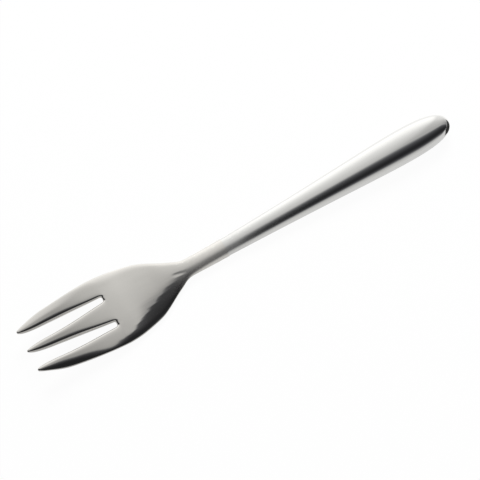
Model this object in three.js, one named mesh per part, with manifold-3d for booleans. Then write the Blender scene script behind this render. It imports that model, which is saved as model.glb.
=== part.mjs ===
// Appetizer fork with three tines and a hollow handle.
// The tines, palm, neck and tang are one forging. Two pressed half shells close round the tang to make the
// handle, a ring of brazing alloy seals their mouth, and a cast filling beds the tang inside.
// Millimetres. X runs from the tine tips to the handle end, Y across the fork, Z up from the table it lies on.
import * as THREE from "three";
import { mergeVertices } from "three/addons/utils/BufferGeometryUtils.js";
import Module from "manifold-3d";

const wasm = await Module();
wasm.setup();

// Lengths along the fork.
const TINE_LENGTH = 29.3; // tine tips to the roots of the slots
const PALM_LENGTH = 25.2; // slot roots to the narrowest point of the neck
const NECK_LENGTH = 14; // narrowest point of the neck to the joint with the handle shells
const HANDLE_LENGTH = 81.5; // that joint to the handle end
const END_LENGTH = 19; // the rounded end of the handle, behind its widest point

// Widths across the fork.
const TIP_SPREAD = 14.7; // over the outer edges of the outer tines at their tips
const FLARE_WIDTH = 20.1; // over the outer tines where they have spread out from their tips
const PALM_WIDTH = 23.1; // the widest point of the head
const SHOULDER_WIDTH = 19.5; // the palm where it begins to draw in
const THROAT_WIDTH = 9.1; // the palm where it runs into the neck
const NECK_WIDTH = 5.5;
const GRIP_WIDTH = 7.75; // the handle half way along its taper
const HANDLE_WIDTH = 11.05;

// Where the head's outline passes through those widths.
const FLARE_FROM_TIPS = 9.4;
const WIDEST_BEFORE_ROOTS = 0.9; // the widest point lies this far in front of the slot roots
const SHOULDER_FROM_NECK = 14.5;
const THROAT_FROM_NECK = 3.5;

// Thicknesses.
const TIP_THICKNESS = 1.1;
const ROOT_THICKNESS = 2.1; // at the slot roots
const NECK_THICKNESS = 3;
const JOINT_THICKNESS = 4.1;
const HANDLE_THICKNESS = 7.2;

// The side view: heights of the underside above the table, and the set of the head.
const TIP_LIFT = 7.3;
const MIDTINE_LIFT = 3.6; // half way along the tines
const NECK_LIFT = 0.3;
const REST_BEHIND_ROOTS = 8; // the palm touches the table this far behind the slot roots
const PALM_DISH = 0.45; // how far the palm's rims stand above its middle
const END_DROP = 0.4; // how far the handle's middle line falls towards its end
const REST_FLAT_DEPTH = 0.08; // what polishing takes off the underside where it touches the table

// Slots between the tines.
const SLOT_MOUTH_WIDTH = 5.4;
const SLOT_ROOT_WIDTH = 2.6;
const SLOT_MOUTH_OFFSET = 3.4; // middle of a slot from the fork's middle line, at the tips
const SLOT_ROOT_OFFSET = 4.5; // the same, at the roots
const TIP_ROUNDING = 0.6;

// The inside of the handle.
const SHELL_WALL = 0.8;
const TANG_LENGTH = 36;
const TANG_TAPER = 0.7; // width and thickness at the tang's end, as a share of those at its root
const RING_LENGTH = 3;
const RING_ROOM = 0.65; // between the tang's root and the shells' inner walls, for the brazing ring
const BRAZE_FILM = 0.1; // clearance between the pieces that are brazed or cast together

// How square a section is: 2 is an oval, and more is a flat plate with rounded edges.
const PALM_SQUARENESS = 7;
const HANDLE_SQUARENESS = 2.15;
const END_SQUARENESS = 2.55; // of the handle end, seen from above and from the side

// Fineness of the facets.
const RING_POINTS = 32;
const HEAD_STEP = 2.2;
const HANDLE_STEP = 6;
const END_STEPS = 8;
const MARGIN = 2; // how far a cutter reaches past what it cuts

// Stations along X that follow from the lengths.
const ROOT_X = TINE_LENGTH;
const WIDEST_X = ROOT_X - WIDEST_BEFORE_ROOTS;
const REST_X = ROOT_X + REST_BEHIND_ROOTS;
const NECK_X = ROOT_X + PALM_LENGTH;
const SHOULDER_X = NECK_X - SHOULDER_FROM_NECK;
const THROAT_X = NECK_X - THROAT_FROM_NECK;
const JOINT_X = NECK_X + NECK_LENGTH;
const END_X = JOINT_X + HANDLE_LENGTH;
const BELLY_X = END_X - END_LENGTH;

// A smooth curve through knots [x, value] that never overshoots them, as a function of x.
function smoothCurve(knots) {
  const chords = knots.slice(1).map(([x, v], i) => (v - knots[i][1]) / (x - knots[i][0]));
  const slopes = knots.map((_, i) => {
    const before = chords[Math.max(i - 1, 0)];
    const after = chords[Math.min(i, chords.length - 1)];
    return before * after > 0 ? (2 * before * after) / (before + after) : 0;
  });
  const pieces = knots.slice(1).map(([x1, v1], i) => {
    const [x0, v0] = knots[i];
    const third = (x1 - x0) / 3;
    return new THREE.CubicBezierCurve(
      new THREE.Vector2(x0, v0),
      new THREE.Vector2(x0 + third, v0 + slopes[i] * third),
      new THREE.Vector2(x1 - third, v1 - slopes[i + 1] * third),
      new THREE.Vector2(x1, v1),
    );
  });
  return (x) => {
    const piece = pieces.find((p) => x <= p.v3.x) ?? pieces.at(-1);
    const share = (x - piece.v0.x) / (piece.v3.x - piece.v0.x);
    return piece.getPoint(THREE.MathUtils.clamp(share, 0, 1)).y;
  };
}

const halfWidthAt = smoothCurve([
  [0, TIP_SPREAD / 2],
  [FLARE_FROM_TIPS, FLARE_WIDTH / 2],
  [WIDEST_X, PALM_WIDTH / 2],
  [SHOULDER_X, SHOULDER_WIDTH / 2],
  [THROAT_X, THROAT_WIDTH / 2],
  [NECK_X, NECK_WIDTH / 2],
  [(NECK_X + BELLY_X) / 2, GRIP_WIDTH / 2],
  [BELLY_X, HANDLE_WIDTH / 2],
]);
const thicknessAt = smoothCurve([
  [0, TIP_THICKNESS],
  [ROOT_X, ROOT_THICKNESS],
  [NECK_X, NECK_THICKNESS],
  [JOINT_X, JOINT_THICKNESS],
  [BELLY_X, HANDLE_THICKNESS],
]);
const undersideAt = smoothCurve([
  [0, TIP_LIFT],
  [ROOT_X / 2, MIDTINE_LIFT],
  [REST_X, -REST_FLAT_DEPTH],
  [NECK_X + NECK_LENGTH / 2, NECK_LIFT],
  [BELLY_X, -REST_FLAT_DEPTH],
]);
const squarenessAt = smoothCurve([
  [0, PALM_SQUARENESS],
  [REST_X, PALM_SQUARENESS],
  [NECK_X, HANDLE_SQUARENESS],
]);
const dishAt = smoothCurve([
  [0, 0],
  [ROOT_X, PALM_DISH],
  [SHOULDER_X, PALM_DISH],
  [NECK_X, 0],
]);
const middleAt = (x) => undersideAt(x) + thicknessAt(x) / 2;

// A closed ring of points in a plane of constant x: a superellipse, with its sides lifted by the dish.
function sectionRing({ x, halfWidth, thickness, middle, squareness, dish = 0 }) {
  const reach = (c) => Math.sign(c) * Math.abs(c) ** (2 / squareness);
  return Array.from({ length: RING_POINTS }, (_, i) => {
    const angle = (i / RING_POINTS) * 2 * Math.PI;
    const across = reach(Math.cos(angle));
    const height = middle + (thickness / 2) * reach(Math.sin(angle)) + dish * across ** 2;
    return new THREE.Vector3(x, halfWidth * across, height);
  });
}

// A closed solid through rings of equal count, in order of x, with its ends drawn to the two points given.
function loft(rings, startPoint, endPoint) {
  const count = RING_POINTS;
  const points = [...rings.flat(), startPoint, endPoint];
  const start = rings.length * count;
  const index = [];
  for (let i = 0; i < count; i++) {
    const next = (i + 1) % count;
    index.push(start, next, i);
    rings.slice(1).forEach((_, r) => {
      const a = r * count;
      const b = a + count;
      index.push(a + i, a + next, b + next, a + i, b + next, b + i);
    });
    const last = start - count;
    index.push(last + i, last + next, start + 1);
  }
  return new THREE.BufferGeometry().setFromPoints(points).setIndex(index);
}

const centreOf = (ring) =>
  ring.reduce((sum, p) => sum.add(p), new THREE.Vector3()).divideScalar(ring.length);

// Evenly spaced stations from one x to another, both included.
function stationsBetween(from, to, step) {
  const count = Math.max(1, Math.round((to - from) / step));
  return Array.from({ length: count + 1 }, (_, i) => from + ((to - from) * i) / count);
}

// Solids for cutting and joining, and back to geometry.
function solidOf(geometry) {
  const bare = geometry.clone();
  bare.deleteAttribute("normal");
  bare.deleteAttribute("uv");
  const merged = mergeVertices(bare, 1e-5);
  const vertProperties = new Float32Array(merged.attributes.position.array);
  const triVerts = new Uint32Array(merged.index.array);
  return new wasm.Manifold(new wasm.Mesh({ numProp: 3, vertProperties, triVerts }));
}

function geometryOf(solid) {
  const { vertProperties, triVerts } = solid.getMesh();
  const geometry = new THREE.BufferGeometry();
  geometry.setAttribute("position", new THREE.BufferAttribute(vertProperties, 3));
  geometry.setIndex(new THREE.BufferAttribute(triVerts, 1));
  geometry.computeVertexNormals();
  return geometry;
}

// A box between two corners.
function boxSolid(low, high) {
  const size = new THREE.Vector3().subVectors(high, low);
  const middle = new THREE.Vector3().addVectors(low, high).divideScalar(2);
  return solidOf(new THREE.BoxGeometry(...size).translate(...middle));
}

// What lies under the table's top, which polishing takes off the underside.
const belowTable = boxSolid(
  new THREE.Vector3(-MARGIN, -PALM_WIDTH, -MARGIN - REST_FLAT_DEPTH),
  new THREE.Vector3(END_X + MARGIN, PALM_WIDTH, 0),
);

// The head's section at x. The outer tines' outer corners are rounded off at the tips.
function headRing(x) {
  const short = Math.max(TIP_ROUNDING - x, 0);
  const corner = TIP_ROUNDING - Math.sqrt(TIP_ROUNDING ** 2 - short ** 2);
  return sectionRing({
    x,
    halfWidth: halfWidthAt(x) - corner,
    thickness: thicknessAt(x),
    middle: middleAt(x),
    squareness: squarenessAt(x),
    dish: dishAt(x),
  });
}

// The tang's section at x, grown all round by a clearance for the pieces that it passes through. Its root
// leaves room for the brazing ring inside the mouth of the shells.
function tangRing(x, clearance) {
  const share = 1 + ((TANG_TAPER - 1) * (x - JOINT_X)) / TANG_LENGTH;
  const inset = SHELL_WALL + RING_ROOM;
  return sectionRing({
    x,
    halfWidth: (halfWidthAt(JOINT_X) - inset) * share + clearance,
    thickness: (thicknessAt(JOINT_X) - 2 * inset) * share + 2 * clearance,
    middle: middleAt(x),
    squareness: HANDLE_SQUARENESS,
  });
}

const tangStations = (from) => stationsBetween(from, JOINT_X + TANG_LENGTH, HANDLE_STEP);

// The hole that the tang fills, with the film round it.
function tangRoom() {
  const rings = tangStations(JOINT_X - MARGIN).map((x) => tangRing(x, BRAZE_FILM));
  rings.push(tangRing(JOINT_X + TANG_LENGTH + BRAZE_FILM, BRAZE_FILM));
  return solidOf(loft(rings, centreOf(rings[0]), centreOf(rings.at(-1))));
}

// One slot, open past the tips, with a round root and mouth edges that round off the tine tips.
function slotSolid(side) {
  const mouth = SLOT_MOUTH_WIDTH / 2;
  const root = SLOT_ROOT_WIDTH / 2;
  const rootCentre = TINE_LENGTH - root;
  const edgeAt = (x) => THREE.MathUtils.lerp(mouth, root, x / rootCentre);
  const plan = new THREE.Shape();
  plan.moveTo(-MARGIN, -mouth - TIP_ROUNDING);
  plan.lineTo(0, -mouth - TIP_ROUNDING);
  plan.quadraticCurveTo(0, -mouth, TIP_ROUNDING, -edgeAt(TIP_ROUNDING));
  plan.lineTo(rootCentre, -root);
  plan.absarc(rootCentre, 0, root, -Math.PI / 2, Math.PI / 2, false);
  plan.lineTo(TIP_ROUNDING, edgeAt(TIP_ROUNDING));
  plan.quadraticCurveTo(0, mouth, 0, mouth + TIP_ROUNDING);
  plan.lineTo(-MARGIN, mouth + TIP_ROUNDING);
  const depth = TIP_LIFT + TIP_THICKNESS + 2 * MARGIN;
  const cutter = new THREE.ExtrudeGeometry(plan, { depth, bevelEnabled: false, curveSegments: 6 });
  const lean = Math.atan2(SLOT_ROOT_OFFSET - SLOT_MOUTH_OFFSET, TINE_LENGTH);
  cutter.rotateZ(side * lean).translate(0, side * SLOT_MOUTH_OFFSET, -MARGIN);
  return solidOf(cutter);
}

// Tines, palm, neck, shoulder and tang in one forging.
function forkHead() {
  const rings = [
    ...[0, TIP_ROUNDING / 3].map(headRing),
    ...stationsBetween(TIP_ROUNDING, JOINT_X, HEAD_STEP).map(headRing),
    ...tangStations(JOINT_X).map((x) => tangRing(x, 0)),
  ];
  const blank = solidOf(loft(rings, centreOf(rings[0]), centreOf(rings.at(-1))));
  return blank.subtract(slotSolid(1)).subtract(slotSolid(-1)).subtract(belowTable);
}

// The handle's body from one x to its rounded end, drawn in all round by an inset.
function handleBody(from, inset) {
  const endLength = END_LENGTH - inset;
  const ring = (x) => {
    const share = Math.max(x - BELLY_X, 0) / endLength;
    const shrink = (1 - share ** END_SQUARENESS) ** (1 / END_SQUARENESS);
    return sectionRing({
      x,
      halfWidth: (halfWidthAt(x) - inset) * shrink,
      thickness: (thicknessAt(x) - 2 * inset) * shrink,
      middle: handleMiddleAt(x),
      squareness: HANDLE_SQUARENESS,
    });
  };
  const ends = Array.from({ length: END_STEPS - 1 }, (_, i) =>
    BELLY_X + endLength * Math.sin(((i + 1) / END_STEPS) * (Math.PI / 2)),
  );
  const rings = [...stationsBetween(from, BELLY_X, HANDLE_STEP), ...ends].map(ring);
  const tip = new THREE.Vector3(BELLY_X + endLength, 0, handleMiddleAt(BELLY_X + endLength));
  return solidOf(loft(rings, centreOf(rings[0]), tip));
}

// The handle's middle line, which falls a little towards the end and carries the seam of the shells.
function handleMiddleAt(x) {
  const share = Math.max(x - BELLY_X, 0) / END_LENGTH;
  return middleAt(Math.min(x, BELLY_X)) - END_DROP * share ** 2;
}

// Everything above the shells' seam, moved up or down by a shift.
function aboveSeam(shift) {
  const from = JOINT_X - MARGIN;
  const to = END_X + MARGIN;
  const top = HANDLE_THICKNESS + NECK_LIFT + MARGIN;
  const side = new THREE.Shape([
    ...stationsBetween(from, to, HANDLE_STEP).map((x) => new THREE.Vector2(x, handleMiddleAt(x) + shift)),
    new THREE.Vector2(to, top),
    new THREE.Vector2(from, top),
  ]);
  const slab = new THREE.ExtrudeGeometry(side, { depth: 2 * HANDLE_WIDTH, bevelEnabled: false });
  return solidOf(slab.rotateX(Math.PI / 2).translate(0, HANDLE_WIDTH, 0));
}

// Both shells together, open at the mouth and polished flat where the handle touches the table.
function handleWall() {
  return handleBody(JOINT_X + BRAZE_FILM, 0)
    .subtract(handleBody(JOINT_X - MARGIN, SHELL_WALL))
    .subtract(belowTable);
}

const handleUpperShell = () => handleWall().intersect(aboveSeam(BRAZE_FILM / 2));
const handleLowerShell = () => handleWall().subtract(aboveSeam(-BRAZE_FILM / 2));

// What fills the shells between two stations, a film's clearance from their walls and from the tang.
function handleCore(from, to) {
  const slice = boxSolid(
    new THREE.Vector3(from, -HANDLE_WIDTH, -HANDLE_THICKNESS),
    new THREE.Vector3(to, HANDLE_WIDTH, 2 * HANDLE_THICKNESS),
  );
  const room = handleBody(JOINT_X - MARGIN, SHELL_WALL + BRAZE_FILM);
  return room.intersect(slice).subtract(tangRoom());
}

const RING_X = JOINT_X + BRAZE_FILM;
const mouthBrazeRing = () => handleCore(RING_X, RING_X + RING_LENGTH);
const handleFilling = () => handleCore(RING_X + RING_LENGTH + BRAZE_FILM, END_X);

const polishedSteel = () =>
  new THREE.MeshStandardMaterial({ color: 0xc8c7c3, metalness: 1, roughness: 0.18 });
const brazingAlloy = () =>
  new THREE.MeshStandardMaterial({ color: 0xc9b98d, metalness: 1, roughness: 0.4 });
const castCement = () =>
  new THREE.MeshStandardMaterial({ color: 0x9b958a, metalness: 0, roughness: 0.9 });

function piece(name, solid, material) {
  const mesh = new THREE.Mesh(geometryOf(solid), material);
  mesh.name = name;
  return mesh;
}

const fork = new THREE.Group();
fork.add(
  piece("fork_head", forkHead(), polishedSteel()),
  piece("handle_upper_shell", handleUpperShell(), polishedSteel()),
  piece("handle_lower_shell", handleLowerShell(), polishedSteel()),
  piece("mouth_braze_ring", mouthBrazeRing(), brazingAlloy()),
  piece("handle_filling", handleFilling(), castCement()),
);
fork.children.forEach((mesh) => mesh.position.setX(-END_X / 2));

export default fork;
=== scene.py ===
"""Looks of a small polished steel fork with three tines and a hollow handle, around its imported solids.

Metres. X runs from the tine tips to the handle end, Y across the fork, Z up from the table it lies on.
A place along the fork is given as its distance from the tine tips.
"""

import math

import bmesh
import bpy
import numpy as np
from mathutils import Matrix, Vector


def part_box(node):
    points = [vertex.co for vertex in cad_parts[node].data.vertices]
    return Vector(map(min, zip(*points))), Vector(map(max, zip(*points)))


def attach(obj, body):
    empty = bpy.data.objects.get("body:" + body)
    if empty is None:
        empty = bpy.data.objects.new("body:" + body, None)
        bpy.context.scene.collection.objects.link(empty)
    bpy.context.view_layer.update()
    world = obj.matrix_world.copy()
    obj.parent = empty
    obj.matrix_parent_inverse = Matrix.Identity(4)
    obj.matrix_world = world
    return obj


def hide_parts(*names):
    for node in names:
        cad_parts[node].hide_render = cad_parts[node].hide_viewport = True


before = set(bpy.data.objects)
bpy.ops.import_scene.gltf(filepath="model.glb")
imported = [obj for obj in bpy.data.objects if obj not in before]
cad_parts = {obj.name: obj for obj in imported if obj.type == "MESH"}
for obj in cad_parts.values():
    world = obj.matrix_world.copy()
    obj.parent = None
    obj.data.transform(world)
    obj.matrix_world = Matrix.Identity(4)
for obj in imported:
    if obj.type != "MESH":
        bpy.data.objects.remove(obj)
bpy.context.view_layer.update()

MM = 0.001

# The main places and reaches, from the solids.
HEAD_LOW, HEAD_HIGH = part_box("fork_head")
SHELL_LOW, SHELL_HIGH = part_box("handle_upper_shell")
TIPS_X = HEAD_LOW.x
BRAZE_FILM = 0.1 * MM
JOINT = SHELL_LOW.x - BRAZE_FILM - TIPS_X
HANDLE_LENGTH = SHELL_HIGH.x - TIPS_X - JOINT
FORK_LENGTH = SHELL_HIGH.x - TIPS_X
TANG_END = HEAD_HIGH.x - TIPS_X

# Places along the head, and two on the handle that set how the neck runs on into it.
FLARE = 9.4 * MM
ROOTS = 27.85 * MM
WIDEST = 28.4 * MM
RESTING = 37.3 * MM
SHOULDER = 40 * MM
THROAT = 51 * MM
NECK = 55.1 * MM
NECK_FULL = NECK + 3 * MM
GRIP = 92.75 * MM
BELLY = 131 * MM

# Half widths of the outline at these places. The polished palm is a little wider than its solid.
PALM_PROUD = 0.3 * MM
TIP_HALF = 7.25 * MM
FLARE_HALF = 10.12 * MM
PALM_HALF = HEAD_HIGH.y + PALM_PROUD
SHOULDER_HALF = 10.05 * MM
THROAT_HALF = 4.68 * MM
NECK_HALF = 2.95 * MM
GRIP_HALF = 3.875 * MM
BELLY_HALF = 5.525 * MM

# Slots between the tines.
SLOT_ROOT_HALF = 0.85 * MM
SLOT_MOUTH_OFFSET = 3.29 * MM
SLOT_ROOT_OFFSET = 4.5 * MM
ROOT_ROUND = 0.6 * MM
SLOT_ROUND = ROOTS - ROOT_ROUND
ROOT_SQUARENESS = 3

# The handle's rule: its half size at the mouth, how it grows, and how its end drops and is rounded off.
MOUTH_HALF = 2.978 * MM
FLATNESS = 0.63
GROWTH = 2.396 * MM
SWELL = 1.6 * MM
MOUTH_SLIM = 0.17 * MM
SLIM_POWER = 4
END_DROP = 0.9 * MM
END_DROP_POWER = 10
END_PLAN_POWER = 8.3
END_PLAN_ROOT = 1 / 2.3
END_SIDE_POWER = 60
END_SIDE_ROOT = 0.47
MOUTH_THICKNESS = 2 * (FLATNESS * MOUTH_HALF - MOUTH_SLIM)
OVAL = 2.15

# The shells: their wall, half the seam between them, and how fine their mesh is.
SHELL_WALL = 0.8 * MM
SEAM = 0.01 * MM
SHELL_ROWS = 150
SHELL_COLUMNS = 96
# Points this close are joined, edges this short are dissolved, and edges with a sharper turn stay sharp.
WELD = 0.0005 * MM
SMALLEST_EDGE = 0.00001 * MM
SHARP_ANGLE = math.radians(40)

# The tang, inside the handle.
TANG_ROOM = 1.45 * MM
TANG_TAPER = 0.7

# Thickness, lift and section of the head.
TIP_THICKNESS = 0.85 * MM
MIDTINE_THICKNESS = 1.4 * MM
ROOT_THICKNESS = 2.1 * MM
PALM_THICKNESS = 2.3 * MM
NECK_THICKNESS = 2.95 * MM
BELLY_THICKNESS = 6.9 * MM
RIM_THICKNESS = 0.3 * MM
ROUND_DEPTH = 0.72
TIP_LIFT = 7.3 * MM
MIDTINE_LIFT = 3.6 * MM
NECK_LIFT = 0.12 * MM
# Where the head's section turns from a plate's to an oval, and how square that oval is at the neck.
OVAL_START = NECK - 3 * MM
OVAL_FULL = NECK + 8 * MM
NECK_OVAL = 2.4


def smooth_curve(*knots):
    """A curve through (along, value) knots that never overshoots them."""
    along, value = np.array(knots, float).T
    chords = np.diff(value) / np.diff(along)
    before = np.r_[chords[0], chords]
    after = np.r_[chords, chords[-1]]
    same_way = before * after > 0
    slopes = np.where(same_way, 2 * before * after / np.where(same_way, before + after, 1), 0)

    def at(x):
        i = int(np.clip(np.searchsorted(along, x) - 1, 0, len(chords) - 1))
        step = along[i + 1] - along[i]
        t = float(np.clip((x - along[i]) / step, 0, 1))
        ease = t * t * (3 - 2 * t)
        start = t * (1 - t) ** 2 * slopes[i]
        end = t * t * (t - 1) * slopes[i + 1]
        return float(value[i] + (value[i + 1] - value[i]) * ease + step * (start + end))

    return at


half_width_at = smooth_curve(
    (0, TIP_HALF), (FLARE, FLARE_HALF), (WIDEST, PALM_HALF), (SHOULDER, SHOULDER_HALF),
    (THROAT, THROAT_HALF), (NECK, NECK_HALF), (GRIP, GRIP_HALF), (BELLY, BELLY_HALF),
)
thickness_at = smooth_curve(
    (0, TIP_THICKNESS), (ROOTS / 2, MIDTINE_THICKNESS), (ROOTS, ROOT_THICKNESS), (SHOULDER, PALM_THICKNESS),
    (NECK_FULL, NECK_THICKNESS), (JOINT, MOUTH_THICKNESS), (BELLY, BELLY_THICKNESS),
)
underside_at = smooth_curve(
    (0, TIP_LIFT), (ROOTS / 2, MIDTINE_LIFT), (RESTING, 0), ((NECK + JOINT) / 2, NECK_LIFT), (BELLY, 0),
)
# How the head's outer edges are eased: the width of the easing, and its slope at the edge.
outer_ease_width = smooth_curve(
    (0, 0.7 * MM), (3 * MM, 1.8 * MM), (8 * MM, 3.2 * MM), (12 * MM, 2.6 * MM), (16 * MM, 2.2 * MM),
    (20 * MM, 1.35 * MM), (24 * MM, 1.15 * MM), (31 * MM, 1.9 * MM), (36 * MM, 1.7 * MM), (NECK, 1.3 * MM),
)
outer_slope_at = smooth_curve((16 * MM, 0.5), (24 * MM, 0.58), (SHOULDER, 0.3), (NECK, 0.45))
# The slots' half width at their narrowest level, and the radius of the tines' round sides along them.
slot_half_at = smooth_curve(
    (0, 2.85 * MM), (2 * MM, 2.35 * MM), (5 * MM, 1.95 * MM), (9 * MM, 1.84 * MM), (16 * MM, 1.55 * MM),
    (24 * MM, 1.03 * MM), (SLOT_ROUND, SLOT_ROOT_HALF),
)
slot_radius_at = smooth_curve(
    (0, 0.42 * MM), (2 * MM, 0.9 * MM), (5 * MM, 1.25 * MM), (8 * MM, 1.3 * MM), (16 * MM, 1.35 * MM),
    (22 * MM, 1.15 * MM), (ROOTS, 0.95 * MM),
)
# How far in from its thin edges the head's underside curves up.
hull_width = smooth_curve((0, 0.5 * MM), (8 * MM, 0.9 * MM), (SHOULDER, 1.3 * MM), (THROAT, 3 * MM))
# How much the head is crowned across, as slope for each metre from its middle line.
crown_at = smooth_curve(
    (0, -5), (7 * MM, -5), (12 * MM, -2), (16 * MM, 0), (24 * MM, 1), (31 * MM, 4), (36 * MM, 8.5),
    (42 * MM, 13), (46 * MM, 20), (50 * MM, 44), (NECK, 80),
)
# How square the section is, from the neck to the handle's mouth.
oval_at = smooth_curve((NECK, NECK_OVAL), (JOINT, OVAL))


def ease_between(x, start, end):
    """0 before start, 1 after end, and a smooth rise between them."""
    t = min(max((x - start) / (end - start), 0), 1)
    return t * t * (3 - 2 * t)


def blend(a, b, share):
    return a + (b - a) * share


def slot_centre_at(x):
    return blend(SLOT_MOUTH_OFFSET, SLOT_ROOT_OFFSET, x / ROOTS)


def slot_distance(x, y):
    """How far a point lies from the nearest edge of a slot."""
    side = abs(y)
    if x < SLOT_ROUND:
        return abs(side - slot_centre_at(x)) - slot_half_at(x)
    ahead = (x - SLOT_ROUND) * SLOT_ROOT_HALF / ROOT_ROUND
    aside = abs(side - slot_centre_at(SLOT_ROUND))
    return (ahead**ROOT_SQUARENESS + aside**ROOT_SQUARENESS) ** (1 / ROOT_SQUARENESS) - SLOT_ROOT_HALF


def closeness(distance, width):
    """1 at an edge, falling to 0 at some width from it."""
    return max(1 - max(distance, 0) / width, 0) ** 2


def eased(distance, width, slope):
    """What an eased edge takes off a face at some distance from the edge."""
    return slope * width / 2 * closeness(distance, width)


def rounded(distance, radius, depth):
    """What a round side takes off a face at some distance from the side."""
    inward = 1 - min(max(distance / radius, 0), 1)
    return depth * (1 - math.sqrt(1 - inward**2))


def head_heights(x, y):
    """Top and underside of the head over a point of its plan."""
    half = half_width_at(x)
    thickness = thickness_at(x)
    bottom = underside_at(x)
    edge, slot = half - abs(y), slot_distance(x, y)
    top = bottom + thickness - crown_at(x) / 2 * y * y
    top -= eased(edge, outer_ease_width(x), outer_slope_at(x))
    top -= rounded(slot, slot_radius_at(x), ROUND_DEPTH * min(slot_radius_at(x), thickness))
    rise = closeness(min(edge, slot), hull_width(x))
    under = bottom + (top - RIM_THICKNESS - bottom) * rise
    across = min(abs(y) / half, 1)
    middle = bottom + thickness / 2
    swell = thickness / 2 * max(1 - across ** oval_at(x), 0) ** (1 / oval_at(x))
    oval = ease_between(x, OVAL_START, OVAL_FULL)
    return blend(top, middle + swell, oval), blend(under, middle - swell, oval)


# The cage of the head: columns across it from its +Y edge to its middle line, and then mirrored.
OUTER, OUTER_HELD, OUTER_EASED, OUTER_MIDDLE, OUTER_FACE, OUTER_ROUND, OUTER_SLOT = range(7)
SLOT, INNER_SLOT, INNER_ROUND, INNER_FACE, CENTRE = range(7, 12)
COLUMNS = 2 * CENTRE + 1
# The three columns at the outer edge: how far in the first lies, and the most it takes of a tine's width,
# how many times as far in the second lies, and the most that the third takes of a tine's width.
EDGE = 0.06 * MM
EDGE_SHARE = 0.06
SUPPORT = 7
EASED_SHARE = 0.35
# Where the columns beside a slot lie on the round side, as shares of its radius: edge, half way, and face.
ON_ROUND = (0.05, 0.4, 0.9)
# The round tips: the columns spread this many degrees to each side, at this share of a tip's radius.
TIP_TURN = 65
TIP_INNER = 0.62
# Away from the slots, the row round their roots lies this far past where the roots start to round.
# The rows behind it lie this much further from the tips there than they do at the slots.
ROOT_STEP = 0.6 * ROOT_ROUND
BEHIND_ROOTS = 0.3 * MM
# The rows, in mm from the tips, and those of the tang as shares of its length.
TINE_ROWS = [1.3, 3.2, 6, 9, 12, 15, 18, 21, 23.6, 26]
PALM_ROWS = [32, 34.4, 36.8, 39.2, 41.4, 43.4, 45.2, 46.8, 48.3, 49.7, 51.1, 52.6, 54.3, 56.4, 59, 62, 65]
TANG_ROWS = [0, 0.03, 0.5, 0.97, 1]
HEAD_SMOOTHING = 2


def tine_row(x):
    """Plan of one row across the tines: the columns' places, and the edges beside them."""
    outer = half_width_at(x)
    slot_outer = slot_centre_at(x) + slot_half_at(x)
    slot_inner = slot_centre_at(x) - slot_half_at(x)
    tine_width = outer - slot_outer
    edge = min(EDGE, EDGE_SHARE * tine_width)
    at_edge, at_round, at_face = (share * slot_radius_at(x) for share in ON_ROUND)
    places = {
        OUTER: outer - edge,
        OUTER_HELD: outer - SUPPORT * edge,
        OUTER_EASED: outer - min(outer_ease_width(x), EASED_SHARE * tine_width),
        OUTER_MIDDLE: (outer + slot_outer) / 2,
        OUTER_FACE: slot_outer + at_face,
        OUTER_ROUND: slot_outer + at_round,
        OUTER_SLOT: slot_outer + at_edge,
        INNER_SLOT: slot_inner - at_edge,
        INNER_ROUND: slot_inner - at_round,
        INNER_FACE: slot_inner - at_face,
        CENTRE: 0,
    }
    rims = {OUTER: (x, outer), OUTER_SLOT: (x, slot_outer), INNER_SLOT: (x, slot_inner)}
    return {c: (x, y) for c, y in places.items()}, rims


def tip_row():
    """Plan of the row round the three tine tips."""
    outer = half_width_at(0)
    slot_outer = slot_centre_at(0) + slot_half_at(0)
    slot_inner = slot_centre_at(0) - slot_half_at(0)
    outer_turns = np.linspace(TIP_TURN, -TIP_TURN, OUTER_SLOT - OUTER + 1)
    inner_turns = np.linspace(TIP_TURN, 0, CENTRE - INNER_SLOT + 1)
    tines = [
        ((outer + slot_outer) / 2, (outer - slot_outer) / 2, OUTER, outer_turns),
        (0, slot_inner, INNER_SLOT, inner_turns),
    ]
    places, rims = {}, {}
    for centre, radius, first, turns in tines:
        for column, turn in enumerate(np.radians(turns), first):
            ahead, aside = math.cos(turn), math.sin(turn)
            inner = radius * TIP_INNER
            places[column] = (radius - inner * ahead, centre + inner * aside)
            rims[column] = (radius - radius * ahead, centre + radius * aside)
    return places, rims


def root_row():
    """Plan of the row that goes round the slots' round roots."""
    places, rims = tine_row(SLOT_ROUND)
    centre = slot_centre_at(SLOT_ROUND)
    corner = 0.5 ** (1 / ROOT_SQUARENESS)
    beside = SLOT_ROUND + ROOT_STEP
    for column in (OUTER, OUTER_HELD, OUTER_EASED, OUTER_MIDDLE, CENTRE):
        places[column] = (beside, places[column][1])
    outer_side = (OUTER_SLOT, OUTER_ROUND, OUTER_FACE)
    inner_side = (INNER_SLOT, INNER_ROUND, INNER_FACE)
    for columns, side in ((outer_side, 1), (inner_side, -1)):
        for column, share in zip(columns, ON_ROUND):
            out = share * slot_radius_at(ROOTS)
            ahead, aside = (ROOT_ROUND + out) * corner, (SLOT_ROOT_HALF + out) * corner
            places[column] = (SLOT_ROUND + ahead, centre + side * aside)
        rims[columns[0]] = (SLOT_ROUND + ROOT_ROUND * corner, centre + side * SLOT_ROOT_HALF * corner)
    places[SLOT] = (ROOTS + ON_ROUND[0] * slot_radius_at(ROOTS), centre)
    rims[SLOT] = (ROOTS, centre)
    rims[OUTER] = (beside, half_width_at(beside))
    return places, rims


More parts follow.
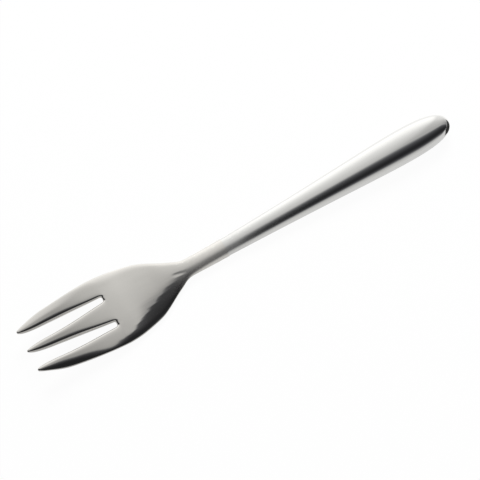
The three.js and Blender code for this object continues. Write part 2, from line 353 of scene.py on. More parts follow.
def palm_row(x, root_places):
    """Plan of one row across the palm or the neck, where the columns turn from a plate's to an oval's."""
    half = half_width_at(x)
    rounding = ease_between(x, ROOTS, NECK)
    from_edge = {OUTER: EDGE, OUTER_HELD: SUPPORT * EDGE, OUTER_EASED: outer_ease_width(x)}
    places = {}
    for column in range(CENTRE + 1):
        root_x, root_y = root_places[column]
        plate = root_y / half_width_at(root_x)
        if column in from_edge:
            plate = 1 - from_edge[column] / half
        oval = math.cos(math.pi * (column + 1) / (COLUMNS + 1))
        places[column] = (x, half * blend(plate, oval, rounding))
    return places, {OUTER: (x, half)}


def behind_roots_row(share, root_places):
    """Plan of a row on the round side of the slots' roots, or where it meets the palm's face."""
    x = ROOTS + share * slot_radius_at(ROOTS)
    places, rims = palm_row(x + BEHIND_ROOTS, root_places)
    places[SLOT] = (x, places[SLOT][1])
    return places, rims


def tang_half(x):
    return (MOUTH_HALF - TANG_ROOM) * blend(1, TANG_TAPER, (x - JOINT) / (TANG_END - JOINT))


def tang_row(x):
    """Plan of one row across the tang."""
    half = tang_half(x)
    places = {c: (x, half * math.cos(math.pi * (c + 1) / (COLUMNS + 1))) for c in range(CENTRE + 1)}
    return places, {OUTER: (x, half)}


def tang_heights(x, y):
    """Top and underside of the tang."""
    across = min(abs(y) / tang_half(x), 1)
    middle = underside_at(JOINT) + MOUTH_THICKNESS / 2
    half = (MOUTH_THICKNESS / 2 - TANG_ROOM) * tang_half(x) / tang_half(JOINT)
    swell = half * max(1 - across**OVAL, 0) ** (1 / OVAL)
    return middle + swell, middle - swell


class Cage:
    """A closed cage in two layers, top and underside, with a rim between them."""

    def __init__(self):
        self.mesh = bmesh.new()
        self.crease = self.mesh.edges.layers.float.new("crease_edge")
        self.top, self.under, self.rim = {}, {}, {}

    def point(self, x, y, z):
        return self.mesh.verts.new((TIPS_X + x, y, z))

    def add_row(self, row, places, rims, heights=head_heights):
        """One row of points in both layers and its rim, mirrored to the -Y side."""
        for side in (1, -1):
            for column, (x, y) in places.items():
                key = (row, column if side > 0 else COLUMNS - 1 - column)
                if key in self.top:
                    continue
                top, under = heights(x, y)
                self.top[key] = self.point(x, side * y, top)
                self.under[key] = self.point(x, side * y, under)
                if column in rims:
                    rim_x, rim_y = rims[column]
                    top, under = heights(rim_x, rim_y)
                    self.rim[key] = self.point(rim_x, side * rim_y, (top + under) / 2)

    def close_end(self, row):
        """Rim points across the whole of the last row."""
        for column in range(COLUMNS):
            if (row, column) not in self.rim:
                top, under = self.top[row, column].co, self.under[row, column].co
                self.rim[row, column] = self.mesh.verts.new((top.x, top.y, (top.z + under.z) / 2))

    def fill(self):
        """Faces of both layers wherever four neighbouring points exist, and of the rim round them."""
        rows = max(row for row, _ in self.top)
        edges = {}
        for row in range(rows):
            for column in range(COLUMNS - 1):
                keys = [(row, column), (row, column + 1), (row + 1, column + 1), (row + 1, column)]
                if not all(k in self.top for k in keys):
                    continue
                self.mesh.faces.new([self.top[k] for k in keys])
                self.mesh.faces.new([self.under[k] for k in reversed(keys)])
                for a, b in zip(keys, keys[1:] + keys[:1]):
                    if edges.pop((b, a), None) is None:
                        edges[a, b] = True
        for a, b in edges:
            self.mesh.faces.new([self.top[b], self.top[a], self.rim[a], self.rim[b]])
            self.mesh.faces.new([self.rim[b], self.rim[a], self.under[a], self.under[b]])

    def sharpen(self, row):
        """Keeps the ring of edges round one row sharp."""
        layers = (self.top, self.under, self.rim)
        ring = {point for layer in layers for (r, _), point in layer.items() if r == row}
        for edge in self.mesh.edges:
            if ring.issuperset(edge.verts):
                edge[self.crease] = 1
                edge.smooth = False

    def finish(self, name):
        """The cage as a mesh, and the numbers of its rim points."""
        bmesh.ops.recalc_face_normals(self.mesh, faces=self.mesh.faces)
        self.mesh.verts.index_update()
        rim = [v.index for v in self.rim.values()]
        mesh = bpy.data.meshes.new(name)
        self.mesh.to_mesh(mesh)
        self.mesh.free()
        return mesh, rim


def new_object(name, mesh):
    thing = bpy.data.objects.new(name, mesh)
    bpy.context.scene.collection.objects.link(thing)
    return thing


def shade_smooth(mesh):
    mesh.polygons.foreach_set("use_smooth", [True] * len(mesh.polygons))


def head_rows():
    """Plans of the head's rows, from the tips to the joint."""
    root = root_row()
    rows = [tip_row()] + [tine_row(x * MM) for x in TINE_ROWS] + [tine_row(SLOT_ROUND), root]
    rows += [behind_roots_row(share, root[0]) for share in ON_ROUND[1:]]
    rows += [palm_row(x * MM, root[0]) for x in PALM_ROWS] + [palm_row(JOINT, root[0])]
    return rows


def fork_head():
    """Tines, palm, neck and tang as one smooth piece, with sharp edges at the joint and the tang's ends."""
    cage = Cage()
    rows = head_rows()
    for i, (places, rims) in enumerate(rows):
        cage.add_row(i, places, rims)
    joint = len(rows) - 1
    for i, share in enumerate(TANG_ROWS, joint + 1):
        cage.add_row(i, *tang_row(blend(JOINT, TANG_END, share)), tang_heights)
    end = joint + len(TANG_ROWS)
    cage.close_end(end)
    cage.fill()
    for row in (joint, joint + 1, end):
        cage.sharpen(row)
    mesh, rim = cage.finish("fork_head_steel")
    piece = new_object("fork_head_steel", mesh)
    draw_through(piece, rim)
    smooth = piece.modifiers.new("smooth", "SUBSURF")
    smooth.levels = smooth.render_levels = HEAD_SMOOTHING
    shade_smooth(mesh)
    return piece


def draw_through(piece, chosen, rounds=4):
    """Moves chosen points of a cage out until its smooth surface passes through where they were."""
    mesh = piece.data
    wanted = np.array([v.co for v in mesh.vertices])
    cage = wanted.copy()
    trial = piece.modifiers.new("trial", "SUBSURF")
    trial.levels = trial.render_levels = 1
    trial.use_limit_surface = True
    for _ in range(rounds):
        depsgraph = bpy.context.evaluated_depsgraph_get()
        reached = piece.evaluated_get(depsgraph).data
        got = np.array([reached.vertices[i].co for i in range(len(wanted))])
        cage[chosen] += (wanted - got)[chosen]
        mesh.vertices.foreach_set("co", cage.ravel())
        mesh.update()
        piece.update_tag()
        bpy.context.view_layer.update()
    piece.modifiers.remove(trial)


class Wire:
    """A node's output that takes part in Python arithmetic: each operation adds a Math node."""

    def __init__(self, net, socket):
        self.net = net
        self.socket = socket

    def __add__(self, other):
        return self.net.math("ADD", self, other)

    def __sub__(self, other):
        return self.net.math("SUBTRACT", self, other)

    def __rsub__(self, other):
        return self.net.math("SUBTRACT", other, self)

    def __mul__(self, other):
        return self.net.math("MULTIPLY", self, other)

    def __truediv__(self, other):
        return self.net.math("DIVIDE", self, other)

    def __pow__(self, other):
        return self.net.math("POWER", self, other)

    def __gt__(self, other):
        return self.net.math("GREATER_THAN", self, other)

    def __lt__(self, other):
        return self.net.math("LESS_THAN", self, other)

    __radd__ = __add__
    __rmul__ = __mul__


class Net:
    """A node tree that is written as expressions."""

    def __init__(self, tree):
        self.tree = tree

    def node(self, kind, settings=None, output=0, **sockets):
        """A node with its settings, and then the values or links of its sockets, by name or number."""
        node = self.tree.nodes.new(kind)
        for name, value in (settings or {}).items():
            if name == "points":
                set_points(node.mapping, value)
            else:
                setattr(node, name, value)
        for name, value in sockets.items():
            key = int(name[1:]) if name[0] == "_" else name.replace("_", " ")
            self.plug(node.inputs[key], value)
        return Wire(self, node.outputs[output]) if len(node.outputs) else node

    def plug(self, socket, value):
        if isinstance(value, Wire):
            self.tree.links.new(value.socket, socket)
        else:
            socket.default_value = value

    def outputs(self, wire):
        """All outputs of the node behind a wire, by name."""
        return {o.name: Wire(self, o) for o in wire.socket.node.outputs}

    def math(self, operation, *values):
        settings = {"operation": operation}
        return self.node("ShaderNodeMath", settings, **{f"_{i}": v for i, v in enumerate(values)})

    def ramp(self, value, start, end, low=0, high=1, kind="LINEAR"):
        """A value that goes from low to high while another goes from start to end, and stays there."""
        return self.node("ShaderNodeMapRange", {"interpolation_type": kind}, Value=value,
                         From_Min=start, From_Max=end, To_Min=low, To_Max=high)

    def split(self, vector):
        """X, Y and Z of a vector, by name."""
        return self.outputs(self.node("ShaderNodeSeparateXYZ", None, Vector=vector))

    def own_places(self):
        """Places on a piece, in its own frame."""
        return self.outputs(self.node("ShaderNodeTexCoord"))["Object"]

    def noise(self, places, scale, **more):
        """Smooth noise, whose scale is one number, or one for each axis."""
        if isinstance(scale, tuple):
            places = self.node("ShaderNodeMapping", None, Vector=places, Scale=scale)
            scale = 1
        return self.node("ShaderNodeTexNoise", None, Vector=places, Scale=scale, **more)


def set_points(mapping, points):
    """The points of a Float Curve node, from left to right."""
    curve = mapping.curves[0]
    while len(curve.points) < len(points):
        curve.points.new(0.5, 0.5)
    for point, place in zip(curve.points, points):
        point.location = place
        point.handle_type = "AUTO_CLAMPED"
    mapping.update()


def new_material(name):
    material = bpy.data.materials.new(name)
    material.use_nodes = True
    material.node_tree.nodes.clear()
    return material, Net(material.node_tree)


# Tone of the steel along the fork. On the head it rises and falls, a painted lightening and darkening of its
# reflections.
HEAD_TONE_AND_PAINTED_SHADE = [
    (0, 0.56), (16 * MM, 0.56), (24 * MM, 0.58), (30 * MM, 0.61), (37 * MM, 0.67), (42 * MM, 0.65),
    (46 * MM, 0.61), (50 * MM, 0.605), (56 * MM, 0.67), (JOINT, 0.7), (FORK_LENGTH, 0.7),
]
HANDLE_TONE = [(0, 0.7), (FORK_LENGTH, 0.7)]
# Round the neck the polish is less clear: rougher, and with a share of haze.
NECK_ROUGHNESS = [
    (54 * MM, 0.22), (60 * MM, 0.235), (JOINT, 0.235), (80 * MM, 0.19), (95 * MM, 0.13), (110 * MM, 0.1),
    (125 * MM, 0.07), (FORK_LENGTH, 0.07),
]
HEAD_ROUGHNESS = [(0, 0.1), (44 * MM, 0.1)] + NECK_ROUGHNESS
HANDLE_ROUGHNESS = [(0, 0.2)] + NECK_ROUGHNESS
NECK_HAZE = [
    (0, 0), (46 * MM, 0), (54 * MM, 0.08), (60 * MM, 0.17), (JOINT, 0.18), (80 * MM, 0.035),
    (95 * MM, 0.005), (110 * MM, 0), (FORK_LENGTH, 0),
]
# Fine lines along the fork and soft clouds in the polish: their scales, their shares in tone and roughness,
# and the depth of the lines.
LINE_SCALE = (70, 3200, 3200)
CLOUD_SCALE = 160
TONE_BASE, TONE_CLOUD, TONE_LINES = 0.96, 0.05, 0.03
ROUGH_BASE, ROUGH_LINES, ROUGH_CLOUD = 0.75, 0.3, 0.2
HEAD_BRUSHING = 0.003 * MM
HANDLE_BRUSHING = 0.0006 * MM

# Half width of the palm's flat middle. Beyond it the polish leans towards -Y.
FLAT_HALVES = [
    (16 * MM, 11.5 * MM), (24 * MM, 10.3 * MM), (31 * MM, 9.1 * MM), (36 * MM, 6.9 * MM),
    (42 * MM, 4.3 * MM), (46 * MM, 2.9 * MM), (50 * MM, 1.4 * MM), (54 * MM, 0),
]
# The lean of the tines, of the palm's sides, and of the fold where the neck runs out into the palm.
TINE_LEAN = [
    (0, 0.08), (4 * MM, 0.1), (8 * MM, 0.125), (12 * MM, 0.105), (16 * MM, 0.075), (20 * MM, 0.045),
    (24 * MM, 0.02), (31 * MM, 0), (FORK_LENGTH, 0),
]
SIDE_LEAN = [
    (0, 0), (20 * MM, 0), (31 * MM, 0.118), (36 * MM, 0.1), (46 * MM, 0.076), (50 * MM, 0.046),
    (58 * MM, 0.02), (JOINT, 0),
]
FOLD_LEAN = [
    (0, 0), (49 * MM, 0), (51 * MM, 0.08), (52.3 * MM, 0.09), (53.5 * MM, 0.05), (56 * MM, 0),
    (FORK_LENGTH, 0),
]
# Polishing strokes make the edge of the flat middle uneven. The edge is softer on the +Y side.
STROKE_SCALE = (110, 900, 900)
STROKE_REACH = 3.6 * MM
FLAT_EDGE = 0.7 * MM
FLAT_EDGE_SOFTER = 3.6 * MM
# The sides lean less from -Y to +Y, and more towards the -Y edge.
SIDE_FROM, SIDE_TO = -3 * MM, 6 * MM
SIDE_FAR_SHARE = 0.3
SIDE_DEPTH = 5 * MM
SIDE_DEEPER = 0.85
# The fold: where it crosses the throat, its slant, half its wave, and the stretch of the wave in use.
FOLD_OFFSET = 0.2 * MM
FOLD_SLANT = 0.2
FOLD_WIDTH = 0.9 * MM
FOLD_FROM, FOLD_TO = -1.5, 0.5


def along_fork(net, places, *knots):
    """A smooth value along the fork, from (distance from the tips, value) knots."""
    points = [(distance / FORK_LENGTH, value) for distance, value in knots]
    x = net.split(places)["X"]
    return net.node("ShaderNodeFloatCurve", {"points": points}, Value=(x - TIPS_X) / FORK_LENGTH)


def head_lean(net, places):
    """How far the polish leans the face of the head towards -Y, from place to place."""
    place = net.split(places)
    x, y = place["X"], place["Y"]
    strokes = net.noise(places, STROKE_SCALE, Detail=2) - 0.5
    beyond = net.math("ABSOLUTE", y) - along_fork(net, places, *FLAT_HALVES) + strokes * STROKE_REACH
    softness = FLAT_EDGE + FLAT_EDGE_SOFTER * (y > 0)
    side = net.ramp(beyond / softness, -1, 1, kind="SMOOTHSTEP")
    near = net.ramp(y, SIDE_FROM, SIDE_TO, 1, SIDE_FAR_SHARE)
    deep = net.ramp(beyond, 0, SIDE_DEPTH, 0, SIDE_DEEPER) * (y < 0)
    fold = (y - FOLD_OFFSET + FOLD_SLANT * (x - (TIPS_X + THROAT))) / FOLD_WIDTH
    wave = net.math("COSINE", fold * math.pi) * (fold > FOLD_FROM) * (fold < FOLD_TO)
    tines = along_fork(net, places, *TINE_LEAN)
    sides = along_fork(net, places, *SIDE_LEAN) * side * (near + deep)
    return tines + sides + along_fork(net, places, *FOLD_LEAN) * wave


def polished_steel(name, tint, tone, roughness, brushing, lean=None):
    """Steel polished along the fork: tone and gloss vary along it, and fine lines show in the polish."""
    material, net = new_material(name)
    places = net.own_places()
    lines = net.noise(places, LINE_SCALE, Detail=3, Roughness=0.6)
    cloud = net.noise(places, CLOUD_SCALE, Detail=2)
    # Along the head the tone carries painted lightening and darkening of the reflections.
    level = along_fork(net, places, *tone) * (TONE_BASE + TONE_CLOUD * cloud + TONE_LINES * lines)
    rough = along_fork(net, places, *roughness) * (ROUGH_BASE + ROUGH_LINES * lines + ROUGH_CLOUD * cloud)
    colour = net.node("ShaderNodeVectorMath", {"operation": "SCALE"}, _0=tint, Scale=level)
    face = net.outputs(net.node("ShaderNodeNewGeometry"))["Normal"]
    if lean:
        turned = net.node("ShaderNodeCombineXYZ", None, Y=0 - lean(net, places))
        face = net.node("ShaderNodeVectorMath", {"operation": "ADD"}, _0=face, _1=turned)
        face = net.node("ShaderNodeVectorMath", {"operation": "NORMALIZE"}, _0=face)
    bump = net.node("ShaderNodeBump", None, Height=lines, Strength=1, Distance=brushing, Normal=face)
    clear = net.node("ShaderNodeBsdfPrincipled", None, Base_Color=colour, Metallic=1, Roughness=rough,
                     Normal=bump)
    hazy = net.node("ShaderNodeBsdfPrincipled", None, Base_Color=colour, Normal=face, Roughness=1)
    haze = along_fork(net, places, *NECK_HAZE)
    shader = net.node("ShaderNodeMixShader", None, _0=haze, _1=clear, _2=hazy)
    net.node("ShaderNodeOutputMaterial", None, Surface=shader)
    return material


def dull_material(name, colour, metallic, roughness, grain):
    """An unfinished surface that only shows when the handle is taken apart."""
    dark, light = 0.75, 1.2
    rough_base, rough_speckle = 0.8, 0.4
    pit_strength, pit_depth = 0.6, 0.1 * MM
    material, net = new_material(name)
    speckle = net.noise(net.own_places(), grain, Detail=5)
    tone = net.node("ShaderNodeMix", {"data_type": "RGBA"}, 2, _0=speckle,
                    _6=(*[c * dark for c in colour], 1), _7=(*[min(c * light, 1) for c in colour], 1))
    bump = net.node("ShaderNodeBump", None, Height=speckle, Strength=pit_strength, Distance=pit_depth)
    shader = net.node("ShaderNodeBsdfPrincipled", None, Base_Color=tone, Metallic=metallic, Normal=bump,
                      Roughness=roughness * (rough_base + rough_speckle * speckle))
    net.node("ShaderNodeOutputMaterial", None, Surface=shader)
    return material


def handle_shell_rule():
    """Geometry nodes for one half shell of the handle: a walled half oval that follows the handle's rule."""
    tree = bpy.data.node_groups.new("handle_shell_rule", "GeometryNodeTree")
    net = Net(tree)
    sizes = [("Length", "Float"), ("Half Width", "Float"), ("Flatness", "Float"), ("Wall", "Float"),
             ("Seam", "Float"), ("Side", "Float"), ("Rows", "Int"), ("Columns", "Int")]
    for name, kind in sizes:
        tree.interface.new_socket(name, in_out="INPUT", socket_type=f"NodeSocket{kind}")
    tree.interface.new_socket("Material", in_out="INPUT", socket_type="NodeSocketMaterial")
    tree.interface.new_socket("Geometry", in_out="OUTPUT", socket_type="NodeSocketGeometry")
    given = net.outputs(net.node("NodeGroupInput"))
    length, wall, side, rows, columns = (given[n] for n in ("Length", "Wall", "Side", "Rows", "Columns"))

    # A grid of rows along the handle and columns round the closed outline of the wall.
    around = 2 * columns + 2
    grid = net.node("GeometryNodeMeshGrid", None, Size_X=1, Size_Y=1, Vertices_X=rows + 2,
                    Vertices_Y=around + 1)
    place = net.split(net.node("GeometryNodeInputPosition"))
    row = net.math("ROUND", (place["X"] + 0.5) * (rows + 1))
    column = net.math("ROUND", (place["Y"] + 0.5) * around)
    at_mouth = row < 0.5
    inside = (column > columns + 0.5) * (column < around - 0.5)
    forward = net.math("MODULO", column, around)
    step = forward + inside * (around - 1 - 2 * column)
    turn = step / columns * math.pi
    along = net.math("SINE", net.math("MAXIMUM", row - 1, 0) / rows * (math.pi / 2))
    inset = wall * (at_mouth * 0.5 + (1 - at_mouth) * inside)

    # The rule: the handle grows from its mouth, and its end is rounded off.
    grown = given["Half Width"] + GROWTH * along + SWELL * along * along
    slim = MOUTH_SLIM * (1 - along) ** SLIM_POWER
    drop = END_DROP * along**END_DROP_POWER
    full = grown * given["Flatness"] - slim - drop
    end_plan = net.math("MAXIMUM", 1 - along**END_PLAN_POWER, 0) ** END_PLAN_ROOT
    end_side = net.math("MAXIMUM", 1 - along**END_SIDE_POWER, 0) ** END_SIDE_ROOT
    half_width = (grown - inset) * end_plan
    half_thickness = (full - inset) * end_side
    middle = full + NECK_LIFT * (1 - along) ** 2
    cosine = net.math("COSINE", turn)
    across = net.math("SIGN", cosine) * net.math("ABSOLUTE", cosine) ** (2 / OVAL)
    up = net.math("MAXIMUM", net.math("SINE", turn), 0) ** (2 / OVAL)
    x = along * (length - inset) + (TIPS_X + JOINT + SEAM)
    z = middle + side * (half_thickness * up + given["Seam"])
    spot = net.node("ShaderNodeCombineXYZ", None, X=x, Y=half_width * across, Z=z)
    shaped = net.node("GeometryNodeSetPosition", None, Geometry=grid, Position=spot)
    closed = net.node("GeometryNodeMergeByDistance", None, Geometry=shaped, Distance=WELD)
    finished = net.node("GeometryNodeRealizeInstances", None, Geometry=closed)
    dressed = net.node("GeometryNodeSetMaterial", None, Geometry=finished, Material=given["Material"])
    net.node("NodeGroupOutput", None, Geometry=dressed)
    return tree


def handle_shell(rule, name, side, material):
    """One half shell as a plain closed mesh."""
    piece = new_object(name, bpy.data.meshes.new(name))
    modifier = piece.modifiers.new("rule", "NODES")
    modifier.node_group = rule
    values = {
        "Length": HANDLE_LENGTH, "Half Width": MOUTH_HALF, "Flatness": FLATNESS, "Wall": SHELL_WALL,
        "Seam": SEAM, "Side": side, "Rows": SHELL_ROWS, "Columns": SHELL_COLUMNS, "Material": material,
    }
    for socket in rule.interface.items_tree:
        if socket.in_out == "INPUT":
            modifier[socket.identifier] = values[socket.name]
    depsgraph = bpy.context.evaluated_depsgraph_get()
    piece.data = bpy.data.meshes.new_from_object(piece.evaluated_get(depsgraph))
    piece.modifiers.clear()
    cleaned = bmesh.new()
    cleaned.from_mesh(piece.data)
    bmesh.ops.dissolve_degenerate(cleaned, edges=cleaned.edges, dist=SMALLEST_EDGE)
    bmesh.ops.recalc_face_normals(cleaned, faces=cleaned.faces)
    cleaned.to_mesh(piece.data)
    cleaned.free()
    shade_smooth(piece.data)
    piece.data.set_sharp_from_angle(angle=SHARP_ANGLE)
    return piece


# The photograph's view.
VIEW_TURN = math.radians(30.556)
VIEW_HEIGHT = math.radians(71.5)
VIEW_ANGLE = math.radians(14.63)
VIEW_DISTANCE = 579.9 * MM
VIEW_RIGHT = -0.813 * MM
VIEW_UP = -0.195 * MM


def photo_camera():
    rise, level = math.sin(VIEW_HEIGHT), math.cos(VIEW_HEIGHT)
    back = Vector((-math.sin(VIEW_TURN) * level, -math.cos(VIEW_TURN) * level, rise))
    right = Vector((math.cos(VIEW_TURN), -math.sin(VIEW_TURN), 0))
    camera = new_object("camera", bpy.data.cameras.new("camera"))
    camera.data.angle = VIEW_ANGLE
    camera.location = back * VIEW_DISTANCE + right * VIEW_RIGHT + back.cross(right) * VIEW_UP
    camera.rotation_mode = "QUATERNION"
    camera.rotation_quaternion = (-back).to_track_quat("-Z", "Y")
    bpy.context.scene.camera = camera


# The table: its reach and paint, and the share of plain glow in what the camera sees of it.
# The rest is paint, which keeps the shadow.
TABLE_REACH = 4
TABLE_PAINT = (0.98, 0.98, 0.98, 1)
TABLE_GLOW = 0.95
# Steel sees the table a little darker under the head, a painted shadow, and darker on the near side than on
# the far side: a painted shadow of the fork on the near side and painted light on the far side.
PAINTED_SHADOW_UNDER_HEAD = 0.9
PAINTED_SHADOW_UNDER_HEAD_END = 61 * MM
PAINTED_SHADOW_NEAR_SIDE, PAINTED_LIGHT_FAR_SIDE = 0.83, 1.25
PAINTED_SIDES_FADE = 4 * MM
# It also sees a painted shadow past the handle's end, a dark wedge that slants and widens away from the
# fork.
PAINTED_END_SHADOW_START = -0.5 * MM
PAINTED_END_SHADOW_ASIDE = 4.5 * MM
PAINTED_END_SHADOW_SLANT = 0.3
PAINTED_END_SHADOW_WIDENS = 0.6
PAINTED_END_SHADOW_HALF, PAINTED_END_SHADOW_EDGE = 1.8 * MM, 3.4 * MM
PAINTED_END_SHADOW_GLOW = 0.05


def painted_table_shading(net):
    """How bright polished steel sees the table, from place to place, with painted shadows and painted light.
    """
    place = net.split(net.own_places())
    # Painted shadows under the head and past the handle's end, and painted shade near and painted light far
    # across the fork.
    painted_head_shadow = net.ramp(place["X"], TIPS_X + THROAT, TIPS_X + PAINTED_SHADOW_UNDER_HEAD_END, PAINTED_SHADOW_UNDER_HEAD, 1)
    beyond = place["X"] - SHELL_HIGH.x
    centred = net.math("ABSOLUTE", place["Y"] + PAINTED_END_SHADOW_ASIDE + PAINTED_END_SHADOW_SLANT * beyond)
    aside = centred - PAINTED_END_SHADOW_WIDENS * beyond
    end_shadow_wedge = net.ramp(aside, PAINTED_END_SHADOW_HALF, PAINTED_END_SHADOW_EDGE, PAINTED_END_SHADOW_GLOW, 1)
    painted_end_shadow = net.math("MAXIMUM", end_shadow_wedge, beyond < PAINTED_END_SHADOW_START)
    across = net.ramp(place["Y"], -PAINTED_SIDES_FADE, PAINTED_SIDES_FADE, PAINTED_SHADOW_NEAR_SIDE, PAINTED_LIGHT_FAR_SIDE)
    return painted_head_shadow * painted_end_shadow * across


def stage_floor():
    """A white table top that keeps a faint shadow, and on which steel sees painted shadows and painted
    light.
    """
    mesh = bpy.data.meshes.new("floor")
    far = TABLE_REACH
    mesh.from_pydata([(-far, -far, 0), (far, -far, 0), (far, far, 0), (-far, far, 0)], [], [(0, 1, 2, 3)])
    floor = new_object("floor", mesh)
    material, net = new_material("white_table")
    rays = net.outputs(net.node("ShaderNodeLightPath"))
    seen = net.math("MAXIMUM", rays["Is Camera Ray"], rays["Is Transmission Ray"])
    mirrored = rays["Is Glossy Ray"]
    paint = net.node("ShaderNodeBsdfDiffuse", None, Color=TABLE_PAINT)
    # Steel sees the table's glow with painted shadows under and beside the fork and painted light on its far
    # side.
    glow_and_painted_shade = 1 + mirrored * (painted_table_shading(net) - 1)
    glow = net.node("ShaderNodeEmission", None, Color=(1, 1, 1, 1), Strength=glow_and_painted_shade)
    share = net.math("MAXIMUM", seen * TABLE_GLOW, mirrored)
    mixed = net.node("ShaderNodeMixShader", None, _0=share, _1=paint, _2=glow)
    net.node("ShaderNodeOutputMaterial", None, Surface=mixed)
    mesh.materials.append(material)


# The tent's size, in metres. Its X runs from the camera's left to its right.
TENT_RADIUS = 0.6
TENT_HALF_LENGTH = 12
TENT_STEPS = 48
# What polished steel sees round it, by the angle from overhead in degrees, away from the camera positive.
TENT_BANDS = [
    (-90, 0.78), (-58, 0.74), (-44, 0.54), (-38, 0.27), (-32.5, 0.09), (-26, 0.028), (-20, 0.015),
    (-12, 0.022), (-5, 0.048), (-0.5, 0.075), (3.5, 0.13), (7.5, 0.31), (10.5, 0.55), (13, 0.69),
    (17, 0.755), (25.5, 0.88), (34.5, 1.01), (44, 1.19), (54, 1.36), (75, 1.5), (90, 1.5),
]
# A Float Curve holds values up to 1, so the bands' brightness is divided by this there.
TENT_SCALE = 2
# The dark band's middle, as a share of the half turn from the near side to the far side.
DARK_MIDDLE = 0.41
# Along the tent, angles shrink towards that middle, which widens the dark band: to one share of themselves
# between two places, and from there to a further share at a third.
WIDENING_START, WIDENING_MIDDLE, WIDENING_END = 0.15, 0.6, 1.4
WIDENING_SHARE, WIDENING_END_SHARE = 0.7, 0.6
# How the far side of the tent darkens along it, and where that side begins, as shares of the half turn.
TENT_FALL = [
    (-1, 0.95), (-0.05, 1.0), (0.05, 0.93), (0.16, 0.7), (0.3, 0.7), (0.65, 0.6), (0.9, 0.5), (1, 0.4),
]
FAR_START, FAR_FULL = 0.5, 0.6
# A faint veil of light over the right half.
VEIL_START, VEIL_FULL, VEIL = -0.05, 0.02, 0.006
# The cast of the light, from dark to bright cloth, and the divided brightness from which it is bright.
DARK_CAST, BRIGHT_CAST = (0.9, 0.92, 1, 1), (1, 1, 0.99, 1)
BRIGHT_LEVEL = 0.25


def tent_mesh():
    """Half a tube over the table, open at both ends."""
    points, faces = [], []
    for i in range(TENT_STEPS + 1):
        turn = math.pi * i / TENT_STEPS
        y, z = TENT_RADIUS * math.cos(turn), TENT_RADIUS * math.sin(turn)
        points += [(-TENT_HALF_LENGTH, y, z), (TENT_HALF_LENGTH, y, z)]
    for i in range(TENT_STEPS):
        faces.append((2 * i, 2 * i + 1, 2 * i + 3, 2 * i + 2))
    mesh = bpy.data.meshes.new("light_tent")
    mesh.from_pydata(points, [], faces)
    return mesh


def tent_cloth():
    """Glowing cloth in bands along the tent."""
    material, net = new_material("tent_cloth")
    place = net.split(net.own_places())
    angle = net.math("ARCTAN2", place["Y"], place["Z"]) / math.pi + 0.5
    narrow = net.ramp(place["X"], WIDENING_START, WIDENING_MIDDLE, 1, WIDENING_SHARE, "SMOOTHSTEP")
    narrow_end = net.ramp(place["X"], WIDENING_MIDDLE, WIDENING_END, 1, WIDENING_END_SHARE)
    angle = DARK_MIDDLE + (angle - DARK_MIDDLE) * narrow * narrow_end
    band_points = [((degrees + 90) / 180, light / TENT_SCALE) for degrees, light in TENT_BANDS]
    bands = net.node("ShaderNodeFloatCurve", {"points": band_points}, Value=angle)
    first, last = TENT_FALL[0][0], TENT_FALL[-1][0]
    fall_points = [((x - first) / (last - first), light) for x, light in TENT_FALL]
    fall = net.node("ShaderNodeFloatCurve", {"points": fall_points}, Value=net.ramp(place["X"], first, last))
    far = net.ramp(angle, FAR_START, FAR_FULL, kind="SMOOTHSTEP")
    veil = net.ramp(place["X"], VEIL_START, VEIL_FULL, 0, VEIL)
    level = bands * (1 - far + far * fall) + veil
    cast = net.node("ShaderNodeMix", {"data_type": "RGBA"}, 2, _0=level / BRIGHT_LEVEL,
                    _6=DARK_CAST, _7=BRIGHT_CAST)
    glow = net.node("ShaderNodeEmission", None, Color=cast, Strength=TENT_SCALE * level)
    net.node("ShaderNodeOutputMaterial", None, Surface=glow)
    return material


def light_tent():
    """Cloth tent across the view, white on the far side and dark round the camera. Only steel sees it."""
    tent = new_object("light_tent", tent_mesh())
    tent.rotation_euler.z = -VIEW_TURN
    tent.data.materials.append(tent_cloth())
    tent.visible_camera = False
    tent.visible_diffuse = False
    tent.visible_transmission = False
    tent.visible_shadow = False


# The lamp, in metres and watts, and the strength of the surroundings.
LAMP_SIZE = 0.6
LAMP_POWER = 12
LAMP_AWAY = 0.85
LAMP_HEIGHT = 0.85
WORLD_LIGHT = 0.4


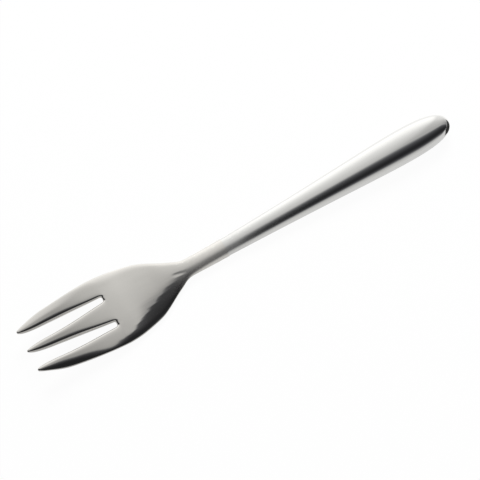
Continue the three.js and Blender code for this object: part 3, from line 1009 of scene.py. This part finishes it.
def far_lamp():
    """A soft lamp on the far side, which lays the shadow of the fork towards the camera."""
    lamp = new_object("far_lamp", bpy.data.lights.new("far_lamp", "AREA"))
    lamp.data.size = LAMP_SIZE
    lamp.data.energy = LAMP_POWER
    away = Vector((math.sin(VIEW_TURN), math.cos(VIEW_TURN), 0))
    lamp.location = away * LAMP_AWAY + Vector((0, 0, LAMP_HEIGHT))
    lamp.rotation_mode = "QUATERNION"
    lamp.rotation_quaternion = (-lamp.location).to_track_quat("-Z", "Y")
    lamp.visible_glossy = False
    lamp.visible_camera = False


def white_surroundings():
    world = bpy.data.worlds.new("white_surroundings")
    bpy.context.scene.world = world
    world.use_nodes = True
    world.node_tree.nodes.clear()
    net = Net(world.node_tree)
    light = net.node("ShaderNodeBackground", None, Color=(1, 1, 1, 1), Strength=WORLD_LIGHT)
    net.node("ShaderNodeOutputWorld", None, Surface=light)


bpy.context.scene.view_settings.view_transform = "Standard"
photo_camera()
stage_floor()
light_tent()
far_lamp()
white_surroundings()

head_steel = polished_steel(
    "head_steel", (1, 0.975, 0.93), HEAD_TONE_AND_PAINTED_SHADE, HEAD_ROUGHNESS, HEAD_BRUSHING, head_lean,
)
handle_steel = polished_steel(
    "handle_steel", (1, 0.995, 0.975), HANDLE_TONE, HANDLE_ROUGHNESS, HANDLE_BRUSHING,
)
brazing_alloy = dull_material("brazing_alloy", (0.6, 0.5, 0.28), metallic=1, roughness=0.5, grain=900)
cast_cement = dull_material("cast_cement", (0.33, 0.3, 0.26), metallic=0, roughness=0.9, grain=700)
for node, material in (("mouth_braze_ring", brazing_alloy), ("handle_filling", cast_cement)):
    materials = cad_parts[node].data.materials
    materials.clear()
    materials.append(material)

head = fork_head()
head.data.materials.append(head_steel)
rule = handle_shell_rule()
upper = handle_shell(rule, "handle_upper_steel", 1, handle_steel)
lower = handle_shell(rule, "handle_lower_steel", -1, handle_steel)
for piece, node, slot in ((head, "fork_head", "head_steel"), (upper, "handle_upper_shell", "handle_steel"),
                          (lower, "handle_lower_shell", "handle_steel")):
    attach(piece, "root")
    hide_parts(node)
